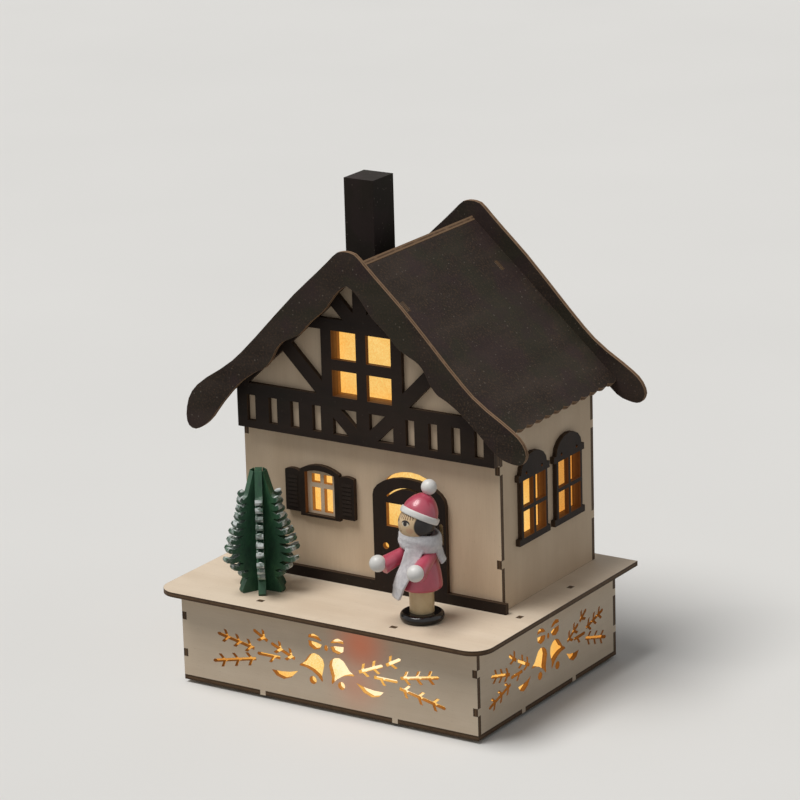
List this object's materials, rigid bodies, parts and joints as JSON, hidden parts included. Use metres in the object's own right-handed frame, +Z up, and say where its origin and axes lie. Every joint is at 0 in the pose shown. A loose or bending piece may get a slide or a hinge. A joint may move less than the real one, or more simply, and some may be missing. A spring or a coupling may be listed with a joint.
{
  "type": "led wooden silhouette light",
  "caption": "Battery-lit wooden house on a box base: tab-jointed plywood, stained timber gable, chimney, cut-out bells and twigs, with a lapped tree and a turned figure on the deck.",
  "frame": {"origin": "on the table, under the middle of the object's bounding box", "axes": "+Z up, +X to the viewer's right when facing the front, -Y towards the viewer at the front"},
  "size_m": [0.2369, 0.186, 0.298],
  "materials": {
    "birch_ply": "sanded raw birch plywood with burnt cut edges",
    "stained_ply": "dark stained plywood",
    "liner_paper": "translucent diffusing sheet, lit from behind",
    "felt_pad": "pressed felt",
    "black_plastic": "moulded plastic, fine texture",
    "cell_jacket": "plain shrink sleeve",
    "contact_steel": "plated spring steel",
    "lamp_lens": "clear warm-white lamp",
    "circuit_board": "coated circuit board",
    "lead_sheath": "soft sheath",
    "fir_paint": "green stain with white snow paint on the tips",
    "black_lacquer": "gloss lacquer",
    "cream_paint": "clear satin lacquer",
    "pink_lacquer": "gloss lacquer with white hands and brim",
    "skin_paint": "satin lacquer with a painted face and hair",
    "white_lacquer": "satin lacquer",
    "scarf_felt": "thin soft felt",
    "yarn": "twisted yarn"
  },
  "bodies": {
    "house": {"base_front_panel": "birch_ply", "base_back_panel": "birch_ply", "base_left_panel": "birch_ply", "base_right_panel": "birch_ply", "base_bottom_board": "birch_ply", "deck": "birch_ply", "foot_front_left": "felt_pad", "foot_front_right": "felt_pad", "foot_back_left": "felt_pad", "foot_back_right": "felt_pad", "base_liner": "liner_paper", "house_front_wall": "birch_ply", "house_back_wall": "birch_ply", "house_left_wall": "birch_ply", "house_right_wall": "birch_ply", "house_liner": "liner_paper", "roof_left_panel": "stained_ply", "roof_right_panel": "stained_ply", "front_bargeboard": "stained_ply", "rear_bargeboard": "stained_ply", "chimney_block": "stained_ply", "gable_board": "birch_ply", "gable_timber_overlay": "stained_ply", "front_window_frame": "stained_ply", "shutter_left": "stained_ply", "shutter_right": "stained_ply", "door_board": "stained_ply", "skirting_left": "stained_ply", "skirting_right": "stained_ply", "left_window_frame_front": "stained_ply", "left_window_frame_back": "stained_ply", "right_window_frame_front": "stained_ply", "right_window_frame_back": "stained_ply", "battery_case": "black_plastic", "battery_cell_1": "cell_jacket", "battery_cell_2": "cell_jacket", "contact_spring_strip": "contact_steel", "contact_plate_strip": "contact_steel", "house_light_board": "circuit_board", "house_lamp_1": "lamp_lens", "base_light_board": "circuit_board", "base_lamp_1": "lamp_lens", "base_lamp_2": "lamp_lens", "supply_lead": "lead_sheath", "link_lead": "lead_sheath", "tree_plank_1": "fir_paint", "tree_plank_2": "fir_paint", "tree_plank_3": "fir_paint", "figure_disc": "black_lacquer", "figure_legs": "cream_paint", "figure_coat": "pink_lacquer", "figure_arm_right": "pink_lacquer", "figure_arm_left": "pink_lacquer", "figure_scarf": "scarf_felt", "figure_head": "skin_paint", "figure_cap": "pink_lacquer", "figure_pompom": "white_lacquer", "figure_braid": "yarn"},
    "cover": {"battery_cover": "black_plastic"},
    "switch": {"switch_slider": "black_plastic"}
  },
  "joints": [
    {"name": "cover_hinge", "type": "hinge", "parent": "house", "child": "cover", "pos_m": [-0.03825, 0.0807, 0.0315], "axis": [0, 0, 1], "range_deg": [0, 110]},
    {"name": "switch_slide", "type": "slide", "parent": "house", "child": "switch", "axis": [1, 0, 0], "range_m": [0, 0.004]}
  ]
}
